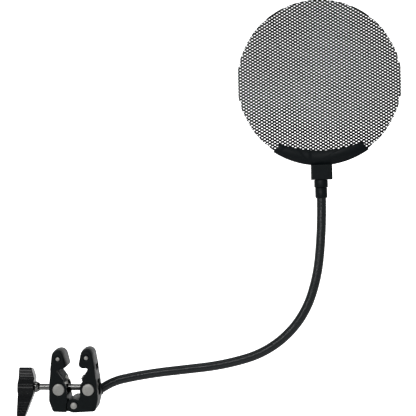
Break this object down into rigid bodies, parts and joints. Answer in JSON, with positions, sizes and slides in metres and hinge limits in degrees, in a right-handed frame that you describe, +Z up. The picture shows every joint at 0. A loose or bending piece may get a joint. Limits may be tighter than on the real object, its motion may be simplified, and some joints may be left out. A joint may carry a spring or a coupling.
{
  "type": "pop filter",
  "caption": "Round expanded-metal pop filter screen on a long gooseneck with a wing-knob jaw clamp that grips a microphone stand.",
  "frame": {"origin": "axis of a stand tube gripped between the two V pads, half way through the clamp's depth", "axes": "+Z up, +X from the clamp towards the screen's side, -Y towards the talker"},
  "size_m": [0.3609, 0.052, 0.3919],
  "materials": {
    "cast_black": "black semi-gloss paint over a die casting",
    "pad_rubber": "matt grey rubber",
    "bare_steel": "fine bead-blasted steel",
    "screw_chrome": "polished chrome",
    "knob_plastic": "moulded black plastic",
    "neck_black": "black oxide on wound steel",
    "satin_black": "satin black coat",
    "bracket_black": "smooth satin black coat",
    "mesh_black": "black coat on expanded metal"
  },
  "bodies": {
    "clamp_body": {"fixed_jaw_arm": "cast_black", "fixed_jaw_pad": "pad_rubber", "fixed_pad_screw": "bare_steel", "fixed_pad_pin": "bare_steel", "hinge_pin": "bare_steel", "neck_anchor_block": "cast_black", "anchor_screw": "bare_steel", "neck_grub_screw": "bare_steel", "neck_lower_ferrule": "satin_black", "neck_link_1": "neck_black"},
    "moving_jaw": {"moving_jaw_arm": "cast_black", "moving_jaw_pad": "pad_rubber", "moving_pad_screw": "bare_steel", "moving_pad_pin": "bare_steel"},
    "nut": {"nut_barrel": "bare_steel"},
    "swivel": {"swivel_barrel": "bare_steel"},
    "screw": {"clamp_screw": "screw_chrome", "screw_ring_inner": "bare_steel", "screw_ring_outer": "bare_steel", "knob_washer": "screw_chrome", "clamp_knob": "knob_plastic"},
    "neck_2": {"neck_link_2": "neck_black"},
    "neck_3": {"neck_link_3": "neck_black"},
    "neck_4": {"neck_link_4": "neck_black"},
    "neck_5": {"neck_link_5": "neck_black"},
    "neck_6": {"neck_link_6": "neck_black"},
    "neck_7": {"neck_link_7": "neck_black"},
    "neck_8": {"neck_link_8": "neck_black"},
    "head": {"neck_link_9": "neck_black", "upper_ferrule_sleeve": "satin_black", "upper_ferrule_collar": "satin_black", "socket_block": "satin_black", "block_set_screw": "bare_steel", "front_bracket": "bracket_black", "rear_bracket": "bracket_black", "mesh_screen": "mesh_black", "bracket_screw_1": "bare_steel", "bracket_screw_2": "bare_steel", "bracket_screw_3": "bare_steel"}
  },
  "joints": [
    {"name": "screw_swing", "type": "hinge", "parent": "clamp_body", "child": "swivel", "pos_m": [0.0135, 0, -0.0183], "axis": [0, 1, 0], "range_deg": [-10.5, 6.9]},
    {"name": "knob_spin", "type": "hinge", "parent": "swivel", "child": "screw", "pos_m": [0, 0, -0.0183], "axis": [1, 0, 0], "range_deg": [-1850, 1200]},
    {"name": "jaw_swing", "type": "hinge", "parent": "clamp_body", "child": "moving_jaw", "pos_m": [0, 0, -0.0333], "axis": [0, 1, 0], "range_deg": [-20, 13]},
    {"name": "nut_turn", "type": "hinge", "parent": "moving_jaw", "child": "nut", "pos_m": [-0.0144, 0, -0.0183], "axis": [0, 1, 0], "range_deg": [-6.5, 9.8]},
    {"name": "lower_bend", "type": "hinge", "parent": "clamp_body", "child": "neck_2", "pos_m": [0.04061, 0.01915, -0.0144], "axis": [0, 1, 0], "range_deg": [-20, 20]},
    {"name": "lower_side", "type": "hinge", "parent": "neck_2", "child": "neck_3", "pos_m": [0.08039, 0.01559, -0.00648], "axis": [-0.1526, 0, 0.9883], "range_deg": [-25, 25]},
    {"name": "lower_bend_end", "type": "hinge", "parent": "neck_3", "child": "neck_4", "pos_m": [0.12055, 0.01023, -0.0007], "axis": [0, 1, 0], "range_deg": [-20, 20]},
    {"name": "middle_bend", "type": "hinge", "parent": "neck_4", "child": "neck_5", "pos_m": [0.15999, 0.00385, 0.00859], "axis": [0, 1, 0], "range_deg": [-14, 22]},
    {"name": "middle_bend_end", "type": "hinge", "parent": "neck_5", "child": "neck_6", "pos_m": [0.19507, -0.00279, 0.02837], "axis": [0, 1, 0], "range_deg": [-14, 22]},
    {"name": "upper_bend", "type": "hinge", "parent": "neck_6", "child": "neck_7", "pos_m": [0.21877, -0.00892, 0.0609], "axis": [0, 1, 0], "range_deg": [-20, 20]},
    {"name": "upper_side", "type": "hinge", "parent": "neck_7", "child": "neck_8", "pos_m": [0.22876, -0.01378, 0.10009], "axis": [-0.9927, 0, 0.1208], "range_deg": [-25, 25]},
    {"name": "upper_bend_end", "type": "hinge", "parent": "neck_8", "child": "head", "pos_m": [0.23117, -0.0166, 0.14058], "axis": [0, 1, 0], "range_deg": [-20, 20]}
  ],
  "couplings": [
    {"joint": "jaw_swing", "follows": "knob_spin", "ratio": 0.0108},
    {"joint": "screw_swing", "follows": "knob_spin", "ratio": 0.0055728},
    {"joint": "nut_turn", "follows": "knob_spin", "ratio": -0.0052272},
    {"joint": "lower_bend_end", "follows": "lower_bend", "ratio": 1},
    {"joint": "middle_bend_end", "follows": "middle_bend", "ratio": 1},
    {"joint": "upper_bend_end", "follows": "upper_bend", "ratio": 1}
  ]
}
